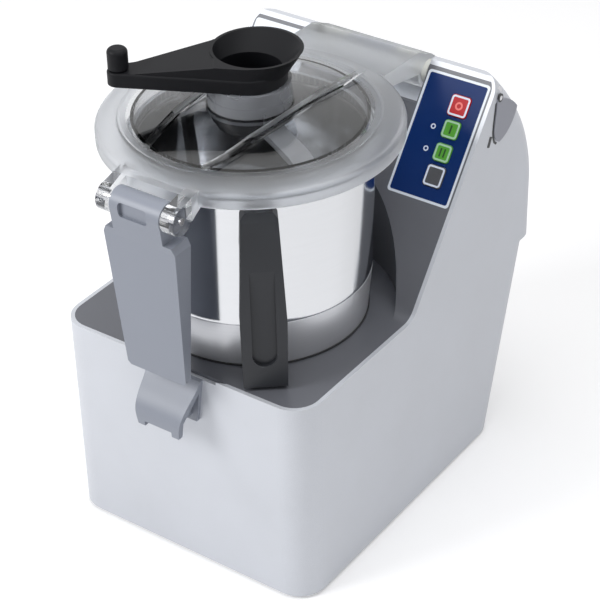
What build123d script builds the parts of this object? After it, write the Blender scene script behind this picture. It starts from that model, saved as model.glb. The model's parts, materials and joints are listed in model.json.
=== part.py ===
"""Table-top bowl cutter: casting with two rear towers, bowl, hinged clear lid, crank scraper and knives.

Millimetres: +X right, +Y back, +Z up. The origin is on the bench, at the middle of the machine's footprint.
Sizes along Y are counted from the drive shaft, which stands shaft_y from the origin.
"""

import os
from math import cos, radians, sin, tan

from build123d import *

os.makedirs("parts", exist_ok=True)

# Fits
running = 0.05
loose = 0.3

# Drive shaft
shaft_y = -51
shaft_r = 8
shaft_top = 282

# Bowl
bowl_top_r = 102
bowl_taper = 3
bowl_low_r = bowl_top_r - bowl_taper
bowl_t = 1.5
bowl_rim_z = 368
bowl_floor_z = 232
bowl_corner = 16
bowl_foot_r = bowl_low_r - 4
bowl_foot_t = 4
bowl_tube_r = 17.5
bowl_tube_top = 262
bead_r = 2.2

# Deck cover and the round recess for the bowl
cover_inset = 3.6
cover_t = 3
skin_t = 3.5
deck_z = 201.5
recess_gap = 17
recess_r = bowl_top_r + recess_gap
seat_rise = 1.5
bowl_foot_z = deck_z + seat_rise

# Lid on the bowl
lid_r = bowl_top_r + 25
lid_inner_r = bowl_top_r + 4
lid_low = bowl_rim_z + 3.5
lid_shoulder = lid_low + 13
lid_inner_z = lid_low + 18
lid_step_z = lid_inner_z - 1
dome_z = lid_low + 27
dome_flat_r = 36
dome_t = 3.6
rim_round = 5
under_z = dome_z - dome_t
skirt_r = bowl_top_r - bowl_t - 3
skirt_low = bowl_rim_z - 5
skirt_t = 3
rib_front = 28
rib_back = 42
rib_w = 5
rib_z = dome_z + 3.5

# Lid hinge
lid_to_hinge = 56
hinge_y = lid_r + lid_to_hinge
hinge_z = bowl_rim_z - 9
hinge_shaft_r = 5
hinge_barrel_r = 15
bush_wall = 2.5
bush_r = hinge_shaft_r + bush_wall
washer_t = 4.7

# Body casting
wall = 4
side_land = 9
body_w = 2 * (recess_r + side_land)
body_front = lid_r - 12
body_lift = 3
body_corner = 26
back_low = hinge_y + 12
back_lean = 16.5
hood_z = deck_z - 15.5
hood_back = hinge_y + 72
hood_turn = (hinge_y + 43, hinge_z - 31)
hood_plumb = hinge_z - 110
hood_bend = (hinge_y + 24.5, hinge_z - 7.6)
foot_y = hinge_y - 135.6
slope_angle = 52.1
foot_round = 18
tower_top = hinge_z + 14
tower_back = hinge_y + 4
tower_w = 68
tower_inner = body_w / 2 - tower_w
tower_round = 20
trough_z = hinge_z - hinge_barrel_r - 3
trough_back = hinge_y + hinge_barrel_r + 2
bridge_z = hinge_z - 3
hinge_barrel_half = tower_inner - washer_t - loose
shaft_half = body_w / 2 - 2

# Side caps, service panel, inlet, base plate and feet
cap_t = 1.5
cap_front = hinge_y - 10
cap_back = hinge_y + 28
cap_low = hinge_z - 47
cap_top = hinge_z - 4
service_w = 190
service_h = 130
service_t = 1.5
service_rim = 12
screw_r = 2
gland_x = 35 - service_w / 2
gland_y = 23 - service_h / 2
gland_r = 11
gland_bore = 5
plate_t = 2.5
foot_r = 15
foot_stem_r = 4
foot_x = body_w / 2 - 30
foot_front = 30 - body_front
foot_back = back_low - 35
foot_places = ((-foot_x, foot_front), (foot_x, foot_front), (-foot_x, foot_back), (foot_x, foot_back))

# Control panel, along the tower's slope
panel_x = body_w / 2 - tower_w / 2 - 2
panel_w = tower_w - 11
panel_low = 101
panel_high = 207
bezel_w = 2.2
overlay_t = 0.8
key_x = panel_x + 8.6
key_travel = 0.6
key_round = 3
keys = {"stop_key": (185, 19, 19), "speed_one_key": (164, 16, 16),
        "speed_two_key": (143, 16, 16), "pulse_key": (122, 18, 19)}
key_proud = 1
key_gap = 0.3
key_rest = 0.4
key_flange = 1
key_depth = key_proud + cover_t + skin_t - key_travel - key_rest
key_window_w = 26
key_window = (109.5, 197.5)

# Drive
seal_r = 13
seal_t = 6
spindle_neck_r = 24
spindle_r = 16
spindle_top = 226
bearing_r = 17.5
bearing_w = 12
shield_t = 6
motor_r = 62
motor_wall = 4
motor_low = 30
motor_top = 168
rotor_r = 33
core_low = 60
core_high = 140
fan_r = 50
fan_h = 10
fan_low = motor_top + shield_t + 3

# Knives
hub_r = 26
hub_bore = bowl_tube_r + 3
hub_top = shaft_top + 6
knife_r = bowl_low_r - 9
knife_t = 2.5
knife_w = 26
knife_land = 0.7
knife_grind = 55
knife_seat = 1.5
knife_z = (bowl_floor_z + 5, bowl_floor_z + 26)

# Bowl handle
handle_turn = -51
grip_room = 16
grip_bar = 13
handle_out = bowl_top_r + grip_room + grip_bar
handle_w = 38
handle_top_w = 30
handle_top = bowl_rim_z - 10
handle_low = deck_z + 3.5
grip_low = 238
grip_top = 326
channel_w = 20
channel_low = 226
channel_high = 330
channel_deep = 4

# Lid collar, funnel and crank
collar_bore = 30
collar_seat_r = collar_bore + 3
collar_r = 34.3
collar_top = dome_z + 19.5
tube_r = 24
tube_bore = 21
tube_low = under_z - 18
scraper_hub_top = under_z - 3.3
neck_r = 30.8
neck_low = collar_top + loose
throat_r = 27.5
dish_r = 38
dish_z = neck_low + 22.7
dish_x = 1
dish_y = 10
dish_wall = 2.6
crank_turn = 218
crank_reach = 104
crank_end_r = 9.5
crank_t = 12
arm_low = neck_low + 0.7
arm_high = arm_low + crank_t
knob_r = 8.5
knob_top = dish_z + 9

# Scraper
scraper_turn = -15
scraper_w = 20
scraper_low = hub_top - 12
scraper_low_r = bowl_low_r - 15
blade_w = 9

# Latch and its pin on the lid's ears
latch_y = -lid_r - 14
latch_z = bowl_rim_z
latch_pin_r = 3
latch_barrel_r = 12
latch_barrel_half = 24.5
ear_in = latch_barrel_half + 1
ear_out = ear_in + 12.5
latch_gap = 0.5
latch_top_half = 35.5
latch_low_half = 30
latch_face_top = latch_y - 8
latch_face_low = latch_y + 1.5
latch_back_top = latch_y + 12
latch_back_low = latch_y + 8
latch_shoulder = latch_z - 22
latch_t = 3
catch_top = deck_z - 2.5
catch_low = catch_top - 47
latch_low = catch_top + 9

# Catch on the front wall
catch_half = 28
catch_nose = 30
catch_t = 5
web_half = 14

# Electrics
board_w = 50
board_h = 90
board_t = 1.6
board_x = board_w / 2 + wall + 5 - body_w / 2
board_y = 20

bench = Plane((0, shaft_y, 0))
front_view = Plane(origin=(0, shaft_y, 0), x_dir=(1, 0, 0), z_dir=(0, -1, 0))
side_view = Plane(origin=(0, shaft_y, 0), x_dir=(0, 1, 0), z_dir=(1, 0, 0))
shaft = Axis((0, shaft_y, 0), (0, 0, 1))
slope_cos = cos(radians(slope_angle))
slope_sin = sin(radians(slope_angle))


def back_y(z):
    """How far back the leaning lower wall stands at a height."""
    return back_low + (z - body_lift) * tan(radians(back_lean))


def slope_y(z, drop=0):
    """How far back the towers' slope stands at a height, sunk square to itself by drop."""
    return foot_y + (z - deck_z) * slope_cos / slope_sin + drop / slope_sin


def slope_plane(x, along, lift=0):
    """A plane on the towers' slope, along it from its foot and lifted square to it."""
    y = foot_y + along * slope_cos - lift * slope_sin
    z = deck_z + along * slope_sin + lift * slope_cos
    return Plane(origin=(x, shaft_y + y, z), x_dir=(1, 0, 0), z_dir=(0, -slope_sin, slope_cos))


def body_form(inset, drop, low_z):
    """The casting's outer form drawn inwards by inset, with its deck and slopes sunk by drop."""
    half = body_w / 2 - inset
    front = inset - body_front
    top = deck_z - drop
    lean = inset / cos(radians(back_lean))
    high = tower_top - inset
    with BuildPart(mode=Mode.PRIVATE) as form:
        with BuildSketch(side_view):
            with BuildLine():
                Polyline((front, low_z), (front, top), (back_y(top) - lean, top),
                         (back_y(low_z) - lean, low_z), close=True)
            make_face()
        extrude(amount=half, both=True)
        uprights = form.edges().filter_by(lambda e: abs((e @ 1).Z - (e @ 0).Z) > (top - low_z) / 2)
        fillet(uprights, body_corner - inset)
    with BuildPart(mode=Mode.PRIVATE) as towers:
        with BuildSketch(side_view):
            with BuildLine():
                foot = (slope_y(top, drop), top)
                brow = (slope_y(high, drop), high)
                crown = (tower_back, high)
                turn = (hood_turn[0] - inset, hood_turn[1])
                low = (hood_back - inset, hood_z + inset)
                Polyline(low, (foot[0], hood_z + inset), foot, brow, crown)
                swell = (hood_bend[0] - inset * 0.75, hood_bend[1] - inset * 0.66)
                bend = ThreePointArc(crown, swell, turn)
                TangentArc(turn, (low[0], hood_plumb), tangent=bend % 1)
                Line((low[0], hood_plumb), low)
            make_face()
        extrude(amount=half, both=True)
        side_edges = towers.edges().filter_by(lambda e: abs((e @ 0).X - (e @ 1).X) < 0.01 and e.length > 10)
        behind = shaft_y + trough_back
        back_edges = [e for e in side_edges if e.center().Y > behind and e.center().Z > hood_z + inset + 1]
        fillet(back_edges, tower_round - inset)
    with BuildPart(mode=Mode.PRIVATE) as whole:
        add(form.part)
        add(towers.part)
        crease_y = shaft_y + slope_y(top, drop)
        crease = [e for e in whole.edges().filter_by(Axis.X)
                  if abs(e.center().Y - crease_y) < 0.5 and abs(e.center().Z - top) < 0.5]
        fillet(crease, foot_round + drop)
    return whole.part


outer_form = body_form(0, 0, body_lift)
cover_top = body_form(cover_inset, 0, deck_z - 30)
cover_under = body_form(cover_inset, cover_t, deck_z - 60)
inner_form = body_form(wall, cover_t + skin_t, body_lift - 1)


def between_towers(extra):
    """The space that the lid's hinge barrel turns in, grown by extra."""
    with BuildPart(mode=Mode.PRIVATE) as space:
        with BuildSketch(side_view):
            with BuildLine():
                Polyline((foot_y, trough_z - extra), (trough_back + extra, trough_z - extra),
                         (trough_back + extra, bridge_z - extra), (hood_back + 20, bridge_z - extra),
                         (hood_back + 20, tower_top + 30), (foot_y, tower_top + 30), close=True)
            make_face()
        extrude(amount=tower_inner + extra, both=True)
    return space.part


def round_recess(radius, low_z):
    """The upright cylinder that the bowl stands in, from low_z upwards."""
    with BuildPart(mode=Mode.PRIVATE) as recess:
        with BuildSketch(bench.offset(low_z)):
            Circle(radius)
        extrude(amount=tower_top + 20 - low_z)
    return recess.part


def across(radius, bore, y, z, start_x, end_x):
    """A sleeve or pin lying along X."""
    with BuildPart(mode=Mode.PRIVATE) as sleeve:
        with BuildSketch(side_view.offset(start_x)):
            with Locations((y, z)):
                Circle(radius)
                if bore:
                    Circle(bore, mode=Mode.SUBTRACT)
        extrude(amount=end_x - start_x)
    return sleeve.part


hinge_space = between_towers(0)


with BuildPart() as cover_blank:
    add(cover_top)
    add(cover_under, mode=Mode.SUBTRACT)

with BuildPart() as recess_liner:
    add(round_recess(recess_r + cover_t, deck_z - cover_t))
    add(cover_top, mode=Mode.INTERSECT)

with BuildPart() as deck_cover:
    add(cover_blank.part)
    add(recess_liner.part)
    add(round_recess(recess_r, deck_z), mode=Mode.SUBTRACT)
    add(hinge_space, mode=Mode.SUBTRACT)
    with BuildSketch(bench.offset(deck_z)):
        Circle(spindle_neck_r)
    extrude(amount=-2 * cover_t, mode=Mode.SUBTRACT)
    for side in (-1, 1):
        with BuildSketch(slope_plane(side * panel_x, (panel_low + panel_high) / 2)):
            RectangleRounded(panel_w + 2 * bezel_w, panel_high - panel_low + 2 * bezel_w, 3)
        extrude(amount=-2 * cover_t, mode=Mode.SUBTRACT)
deck_cover.part.label = "deck_cover"
export_step(deck_cover.part, "parts/deck_cover.step")

with BuildPart() as cavity:
    add(inner_form)
    add(round_recess(recess_r + cover_t + skin_t, deck_z - cover_t - skin_t), mode=Mode.SUBTRACT)
    add(between_towers(wall), mode=Mode.SUBTRACT)

lean_cos = cos(radians(back_lean))
lean_sin = sin(radians(back_lean))
service_z = 95
service_plane = Plane(origin=(0, shaft_y + back_y(service_z), service_z), x_dir=(-1, 0, 0),
                      z_dir=(0, lean_cos, -lean_sin))


def side_cap(side):
    """The leaf-shaped plastic cap over one end of the hinge shaft, let into the side wall."""
    with BuildPart(mode=Mode.PRIVATE) as cap:
        with BuildSketch(side_view.offset(side * (body_w / 2 - cap_t))):
            with BuildLine():
                front_top = (cap_front + 4, cap_top)
                front_low = (cap_front, cap_low + 16)
                tip = (cap_front + 9, cap_low)
                back = (cap_back, cap_low + 22)
                Line(front_top, front_low)
                ThreePointArc(front_low, (cap_front + 2.5, cap_low + 5.5), tip)
                ThreePointArc(tip, (cap_back - 11.5, cap_low + 7), back)
                ThreePointArc(back, (cap_front + 23, cap_top - 7.5), front_top)
            make_face()
        extrude(amount=side * (cap_t + 1))
    return cap.part


with BuildPart() as housing:
    add(outer_form)
    add(cover_blank.part, mode=Mode.SUBTRACT)
    add(round_recess(recess_r + cover_t, deck_z - cover_t), mode=Mode.SUBTRACT)
    add(hinge_space, mode=Mode.SUBTRACT)
    add(cavity.part, mode=Mode.SUBTRACT)
    with BuildSketch(bench.offset(deck_z)):
        Circle(spindle_neck_r)
    extrude(amount=-20, mode=Mode.SUBTRACT)
    for side in (-1, 1):
        hole = across(hinge_shaft_r, 0, hinge_y, hinge_z, side * tower_inner, side * shaft_half)
        add(hole, mode=Mode.SUBTRACT)
    with BuildSketch(service_plane):
        RectangleRounded(service_w - 2 * service_rim, service_h - 2 * service_rim, service_rim / 2)
    extrude(amount=-3 * wall, mode=Mode.SUBTRACT)
    with BuildSketch(slope_plane(key_x, (key_window[0] + key_window[1]) / 2)):
        RectangleRounded(key_window_w, key_window[1] - key_window[0], key_round)
    extrude(amount=-4 * wall, mode=Mode.SUBTRACT)
    for side in (-1, 1):
        add(side_cap(side), mode=Mode.SUBTRACT)
housing.part.label = "housing"
export_step(housing.part, "parts/housing.step")

with BuildPart() as base_plate:
    add(inner_form)
    with BuildSketch(bench.offset(body_lift)):
        Rectangle(2 * body_w, 4 * body_w)
    extrude(amount=plate_t, mode=Mode.INTERSECT)
    with BuildSketch(bench.offset(body_lift)):
        with Locations((0, -62), (0, 62)):
            with GridLocations(12, 0, 9, 1):
                SlotOverall(44, 5, rotation=90)
        with Locations(*foot_places):
            Circle(foot_stem_r)
    extrude(amount=plate_t, mode=Mode.SUBTRACT)
base_plate.part.label = "base_plate"
export_step(base_plate.part, "parts/base_plate.step")

with BuildPart() as feet:
    with BuildSketch(bench.offset(body_lift)):
        with Locations(*foot_places):
            Circle(foot_stem_r)
    extrude(amount=6)
    for x, y in foot_places:
        with BuildSketch(Plane((x, shaft_y + y, 0))):
            Circle(foot_r - 2)
        extrude(amount=body_lift, taper=-25)
feet.part.label = "feet"
export_step(feet.part, "parts/feet.step")

with BuildPart() as service_panel:
    with BuildSketch(service_plane):
        RectangleRounded(service_w, service_h, service_rim)
    extrude(amount=service_t)
    with BuildSketch(service_plane):
        with Locations((0, 22)):
            with GridLocations(0, 9, 1, 7):
                SlotOverall(90, 4)
        with Locations((gland_x, gland_y)):
            Circle(gland_r)
        with GridLocations(service_w - service_rim - 2, service_h - service_rim - 2, 2, 2):
            Circle(screw_r)
    extrude(amount=service_t, mode=Mode.SUBTRACT)
service_panel.part.label = "service_panel"
export_step(service_panel.part, "parts/service_panel.step")

with BuildPart() as service_screws:
    with BuildSketch(service_plane.offset(service_t)):
        with GridLocations(service_w - service_rim - 2, service_h - service_rim - 2, 2, 2):
            Circle(1.8 * screw_r)
    extrude(amount=0.9 * screw_r)
    with BuildSketch(service_plane.offset(service_t)):
        with GridLocations(service_w - service_rim - 2, service_h - service_rim - 2, 2, 2):
            Circle(screw_r)
    extrude(amount=-service_t)
service_screws.part.label = "service_screws"
export_step(service_screws.part, "parts/service_screws.step")

with BuildPart() as inlet_gland:
    with BuildSketch(service_plane.offset(-6)):
        with Locations((gland_x, gland_y)):
            Circle(gland_r)
    extrude(amount=6 + service_t)
    with BuildSketch(service_plane.offset(service_t)):
        with Locations((gland_x, gland_y)):
            RegularPolygon(gland_r + 3, 6)
    extrude(amount=5)
    with BuildSketch(service_plane.offset(service_t + 5)):
        with Locations((gland_x, gland_y)):
            Circle(gland_r)
    extrude(amount=9, taper=12)
    with BuildSketch(service_plane.offset(-6)):
        with Locations((gland_x, gland_y)):
            Circle(gland_bore)
    extrude(amount=40, mode=Mode.SUBTRACT)
inlet_gland.part.label = "inlet_gland"
export_step(inlet_gland.part, "parts/inlet_gland.step")


def bezel(x):
    """A pale frame let into the cover's window, with a sunk seat for its overlay."""
    middle = (panel_low + panel_high) / 2
    with BuildPart(mode=Mode.PRIVATE) as frame:
        with BuildSketch(slope_plane(x, middle)):
            RectangleRounded(panel_w + 2 * bezel_w, panel_high - panel_low + 2 * bezel_w, 3)
        extrude(amount=-cover_t)
        with BuildSketch(slope_plane(x, middle)):
            RectangleRounded(panel_w, panel_high - panel_low, 2)
        extrude(amount=-overlay_t, mode=Mode.SUBTRACT)
    return frame.part


def key_holes(gap, height):
    """The four keys' outlines as prisms square to the slope, grown by gap."""
    with BuildPart(mode=Mode.PRIVATE) as holes:
        for name, (along, key_w, key_h) in keys.items():
            with BuildSketch(slope_plane(key_x, along, height)):
                RectangleRounded(key_w + 2 * gap, key_h + 2 * gap, key_round + gap)
            extrude(amount=-2 * height)
    return holes.part


with BuildPart() as panel_bezel:
    add(bezel(panel_x))
    add(key_holes(key_gap, 12), mode=Mode.SUBTRACT)
panel_bezel.part.label = "panel_bezel"
export_step(panel_bezel.part, "parts/panel_bezel.step")

with BuildPart() as panel_overlay:
    with BuildSketch(slope_plane(panel_x, (panel_low + panel_high) / 2)):
        RectangleRounded(panel_w, panel_high - panel_low, 2)
    extrude(amount=-overlay_t)
    add(key_holes(key_gap, 12), mode=Mode.SUBTRACT)
panel_overlay.part.label = "panel_overlay"
export_step(panel_overlay.part, "parts/panel_overlay.step")

with BuildPart() as left_plate:
    add(bezel(-panel_x))
    with BuildSketch(slope_plane(-panel_x, (panel_low + panel_high) / 2)):
        RectangleRounded(panel_w, panel_high - panel_low, 2)
    extrude(amount=-overlay_t)
left_plate.part.label = "left_plate"
export_step(left_plate.part, "parts/left_plate.step")

for name, (along, key_w, key_h) in keys.items():
    with BuildPart() as key:
        with BuildSketch(slope_plane(key_x, along, key_proud)):
            RectangleRounded(key_w, key_h, key_round)
        extrude(amount=-key_depth)
        with BuildSketch(slope_plane(key_x, along, key_proud - key_depth)):
            RectangleRounded(key_w + 2 * key_flange, key_h + 2 * key_flange, key_round)
        extrude(amount=1.2)
        fillet(key.faces().sort_by(Axis((0, 0, 0), (0, -slope_sin, slope_cos)))[-1].edges(), 0.6)
    key.part.label = name
    export_step(key.part, f"parts/{name}.step")

with BuildPart() as key_board:
    with BuildSketch(slope_plane(key_x - 4, 150, -cover_t - skin_t)):
        Rectangle(46, 92)
    extrude(amount=-1.6)
key_board.part.label = "key_board"
export_step(key_board.part, "parts/key_board.step")


with BuildPart() as side_caps:
    add(side_cap(-1))
    add(side_cap(1))
side_caps.part.label = "side_caps"
export_step(side_caps.part, "parts/side_caps.step")


def ring(outer, inner, low_z, high_z):
    """A plain ring on the drive axis."""
    with BuildPart(mode=Mode.PRIVATE) as hoop:
        with BuildSketch(bench.offset(low_z)):
            Circle(outer)
            if inner:
                Circle(inner, mode=Mode.SUBTRACT)
        extrude(amount=high_z - low_z)
    return hoop.part


with BuildPart() as motor_shell:
    add(ring(motor_r, motor_r - motor_wall, motor_low, motor_top))
motor_shell.part.label = "motor_shell"
export_step(motor_shell.part, "parts/motor_shell.step")

with BuildPart() as stator_core:
    add(ring(motor_r - motor_wall, rotor_r + 0.6, core_low, core_high))
    with BuildSketch(bench.offset(core_low)):
        with PolarLocations(rotor_r + 9, 24):
            SlotOverall(14, 3)
    extrude(amount=core_high - core_low, mode=Mode.SUBTRACT)
stator_core.part.label = "stator_core"
export_step(stator_core.part, "parts/stator_core.step")

with BuildPart() as windings:
    add(ring(motor_r - 10, rotor_r + 4, core_high, core_high + 12))
    add(ring(motor_r - 10, rotor_r + 4, core_low - 12, core_low))
    fillet(windings.edges().filter_by(GeomType.CIRCLE), 2.5)
windings.part.label = "windings"
export_step(windings.part, "parts/windings.step")

with BuildPart() as lower_shield:
    add(ring(motor_r, bearing_r - 6, motor_low - 5, motor_low))
    add(ring(bearing_r + 5, bearing_r, motor_low, motor_low + bearing_w))
    with BuildSketch(bench.offset(motor_low - 5)):
        with PolarLocations(motor_r - 20, 8):
            Circle(6)
    extrude(amount=5, mode=Mode.SUBTRACT)
lower_shield.part.label = "lower_shield"
export_step(lower_shield.part, "parts/lower_shield.step")

skin_low = deck_z - cover_t - skin_t

with BuildPart() as upper_shield:
    add(ring(motor_r + 14, bearing_r, motor_top, motor_top + shield_t))
    add(ring(bearing_r + 5, bearing_r, motor_top + shield_t - bearing_w, motor_top + shield_t))
    with BuildSketch(bench.offset(motor_top + shield_t)):
        with PolarLocations(motor_r + 7, 4, start_angle=45):
            Circle(6)
    extrude(until=Until.NEXT, target=ring(motor_r + 20, 0, skin_low, skin_low + 2))
upper_shield.part.label = "upper_shield"
export_step(upper_shield.part, "parts/upper_shield.step")

with BuildPart() as bearings:
    add(ring(bearing_r, shaft_r + running, motor_low, motor_low + bearing_w))
    add(ring(bearing_r, shaft_r + running, motor_top + shield_t - bearing_w, motor_top + shield_t))
bearings.part.label = "bearings"
export_step(bearings.part, "parts/bearings.step")

with BuildPart() as spindle:
    with BuildSketch(front_view):
        with BuildLine():
            bore = shaft_r + 1
            nut = spindle_neck_r + 4
            flange = spindle_neck_r + 10
            seat_z = spindle_top - seal_t
            flange_z = deck_z + 3
            Polyline((bore, skin_low - 3), (nut, skin_low - 3), (nut, skin_low), (spindle_neck_r, skin_low),
                     (spindle_neck_r, deck_z), (flange, deck_z), (flange - 2, flange_z),
                     (spindle_r, flange_z), (spindle_r, spindle_top), (seal_r, spindle_top),
                     (seal_r, seat_z), (bore, seat_z), close=True)
        make_face()
    revolve(axis=shaft)
spindle.part.label = "spindle"
export_step(spindle.part, "parts/spindle.step")

with BuildPart() as shaft_seal:
    add(ring(seal_r, shaft_r + running, spindle_top - seal_t, spindle_top))
shaft_seal.part.label = "shaft_seal"
export_step(shaft_seal.part, "parts/shaft_seal.step")

with BuildPart() as motor_shaft:
    add(ring(shaft_r, 0, motor_low - 3, shaft_top))
    chamfer(motor_shaft.edges().filter_by(GeomType.CIRCLE), 1)
    for side in (-1, 1):
        with BuildSketch(bench.offset(shaft_top)):
            with Locations((side * (shaft_r + 3), 0)):
                Rectangle(10, 30)
        extrude(amount=-18, mode=Mode.SUBTRACT)
motor_shaft.part.label = "motor_shaft"
export_step(motor_shaft.part, "parts/motor_shaft.step")

with BuildPart() as rotor:
    add(ring(rotor_r, shaft_r, core_low, core_high))
    add(ring(rotor_r - 2, rotor_r - 9, core_low - 5, core_low))
    add(ring(rotor_r - 2, rotor_r - 9, core_high, core_high + 5))
rotor.part.label = "rotor"
export_step(rotor.part, "parts/rotor.step")

with BuildPart() as cooling_fan:
    add(ring(shaft_r + 5, shaft_r, fan_low, fan_low + fan_h))
    add(ring(fan_r, shaft_r, fan_low, fan_low + 1.5))
    with BuildSketch(bench.offset(fan_low)):
        with PolarLocations((fan_r + shaft_r + 2) / 2, 9):
            Rectangle(fan_r - shaft_r - 6, 1.6)
    extrude(amount=fan_h)
cooling_fan.part.label = "cooling_fan"
export_step(cooling_fan.part, "parts/cooling_fan.step")


def bowl_section(out):
    """The bowl's sheet section moved outwards by out, from the centre tube to the rim."""
    wall_foot_z = bowl_floor_z + bowl_corner
    tube = bowl_tube_r + bowl_t - out
    floor_z = bowl_floor_z - out + bowl_t
    with BuildLine() as line:
        Polyline((tube, bowl_tube_top), (tube, floor_z), (bowl_low_r - bowl_corner, floor_z))
        RadiusArc((bowl_low_r - bowl_corner, floor_z), (bowl_low_r - bowl_t + out, wall_foot_z),
                  -(bowl_corner - bowl_t + out))
        Line((bowl_low_r - bowl_t + out, wall_foot_z), (bowl_top_r - bowl_t + out, bowl_rim_z))
    return line


with BuildPart() as bowl:
    with BuildSketch(front_view):
        with BuildLine():
            inner_edge = bowl_section(0).line
            outer_edge = bowl_section(bowl_t).line
            add(inner_edge)
            add(outer_edge)
            Line((bowl_tube_r + bowl_t, bowl_tube_top), (bowl_tube_r, bowl_tube_top))
            Line((bowl_top_r - bowl_t, bowl_rim_z), (bowl_top_r, bowl_rim_z))
        make_face()
        with Locations((bowl_top_r + 0.8, bowl_rim_z)):
            Circle(bead_r)
    revolve(axis=shaft)
bowl.part.label = "bowl"
export_step(bowl.part, "parts/bowl.step")

with BuildPart() as bowl_solid:
    with BuildSketch(front_view):
        with BuildLine():
            wall_foot = (bowl_low_r, bowl_floor_z + bowl_corner)
            Polyline(wall_foot, (bowl_top_r, bowl_rim_z), (0, bowl_rim_z), (0, bowl_floor_z),
                     (bowl_low_r - bowl_corner, bowl_floor_z))
            RadiusArc((bowl_low_r - bowl_corner, bowl_floor_z), wall_foot, -bowl_corner)
        make_face()
    revolve(axis=shaft)

with BuildPart() as bowl_base:
    with BuildSketch(front_view):
        with BuildLine():
            boss = bowl_tube_r + 12
            skirt_z = bowl_floor_z + 12
            foot_in = bowl_foot_r - bowl_foot_t
            Polyline((bowl_low_r - 0.2, skirt_z), (bowl_foot_r, bowl_foot_z), (foot_in, bowl_foot_z),
                     (foot_in, bowl_foot_z + 8), (boss, bowl_floor_z - 4), (boss, bowl_floor_z),
                     (bowl_low_r - bowl_corner, skirt_z), close=True)
        make_face()
    revolve(axis=shaft)
    add(bowl_solid.part, mode=Mode.SUBTRACT)
bowl_base.part.label = "bowl_base"
export_step(bowl_base.part, "parts/bowl_base.step")

handle_way = (cos(radians(handle_turn)), sin(radians(handle_turn)), 0)
handle_side = (sin(radians(handle_turn)), -cos(radians(handle_turn)), 0)
handle_plane = Plane(origin=(0, shaft_y, 0), x_dir=handle_way, z_dir=handle_side)
handle_face = Plane(origin=(0, shaft_y, 0), x_dir=(-handle_way[1], handle_way[0], 0), z_dir=handle_way)

with BuildPart() as bowl_handle:
    with BuildSketch(handle_plane):
        with BuildLine():
            brow = (handle_out - 16, handle_top - 6)
            swell = (handle_out - 4, grip_top - 12)
            belly = (handle_out, grip_low + 10)
            Polyline(belly, (handle_out - 1, handle_low), (bowl_foot_r + 1, handle_low),
                     (bowl_foot_r - 2, bowl_floor_z + bowl_corner), (bowl_low_r - 3, handle_top),
                     (handle_out - 21, handle_top), brow)
            Spline(brow, swell, belly, tangents=((0.6, -1), (0, -1)))
        make_face()
        with BuildLine():
            bar_in = handle_out - grip_bar
            wall_in = bowl_foot_r - 6
            sill = grip_low + 6
            Polyline((wall_in, sill), (wall_in, grip_top), (bowl_top_r + 5, grip_top),
                     (bar_in - 3, grip_top - 22), (bar_in, sill + 14), (bowl_top_r + 6, sill), close=True)
        make_face(mode=Mode.SUBTRACT)
    extrude(amount=handle_w / 2, both=True)
    with BuildSketch(handle_face.offset(handle_out + 10)):
        with BuildLine():
            half_low = handle_w / 2
            half_top = handle_top_w / 2
            Polyline((0, handle_low), (half_low - 1, handle_low), (half_low, grip_low + 30),
                     (half_top, handle_top - 4), (half_top - 4, handle_top), (0, handle_top))
            mirror(about=Plane.YZ)
        make_face()
    extrude(amount=-70, mode=Mode.INTERSECT)
    with BuildSketch(handle_face.offset(handle_out + 10)):
        with Locations((0, (channel_low + channel_high) / 2)):
            SlotOverall(channel_high - channel_low, channel_w, rotation=90)
    extrude(amount=-10 - channel_deep, mode=Mode.SUBTRACT)
    add(bowl_solid.part, mode=Mode.SUBTRACT)
    add(bowl_base.part, mode=Mode.SUBTRACT)
bowl_handle.part.label = "bowl_handle"
export_step(bowl_handle.part, "parts/bowl_handle.step")

with BuildPart() as bowl_seat:
    with BuildSketch(bench.offset(deck_z)):
        Circle(bowl_foot_r + 1)
        Circle(bowl_foot_r - 12, mode=Mode.SUBTRACT)
    extrude(amount=seat_rise)
    with BuildSketch(bench.offset(bowl_foot_z)):
        Circle(bowl_foot_r - bowl_foot_t - loose)
        Circle(bowl_foot_r - 12, mode=Mode.SUBTRACT)
        with PolarLocations(bowl_foot_r - 8, 3, start_angle=90):
            Rectangle(30, 50, mode=Mode.INTERSECT)
    extrude(amount=6)
bowl_seat.part.label = "bowl_seat"
export_step(bowl_seat.part, "parts/bowl_seat.step")

with BuildPart() as knife_hub:
    add(ring(hub_r, hub_bore, bowl_floor_z + 3.5, bowl_tube_top + 4))
    add(ring(hub_r, shaft_r, bowl_tube_top + 4, shaft_top))
    add(ring(hub_r, 0, shaft_top, hub_top))
    for low_z, high_z in ((knife_z[0], knife_z[0] + knife_t), (knife_z[1], knife_z[1] + knife_t)):
        add(ring(hub_r, hub_r - knife_seat, low_z, high_z), mode=Mode.SUBTRACT)
knife_hub.part.label = "knife_hub"
export_step(knife_hub.part, "parts/knife_hub.step")

with BuildPart() as hub_cap:
    with BuildSketch(front_view):
        with BuildLine():
            Polyline((hub_r - 4, hub_top), (0, hub_top), (0, hub_top + 7))
            ThreePointArc((0, hub_top + 7), (13, hub_top + 5.5), (hub_r - 4, hub_top))
        make_face()
    revolve(axis=shaft)
hub_cap.part.label = "hub_cap"
export_step(hub_cap.part, "parts/hub_cap.step")


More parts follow.
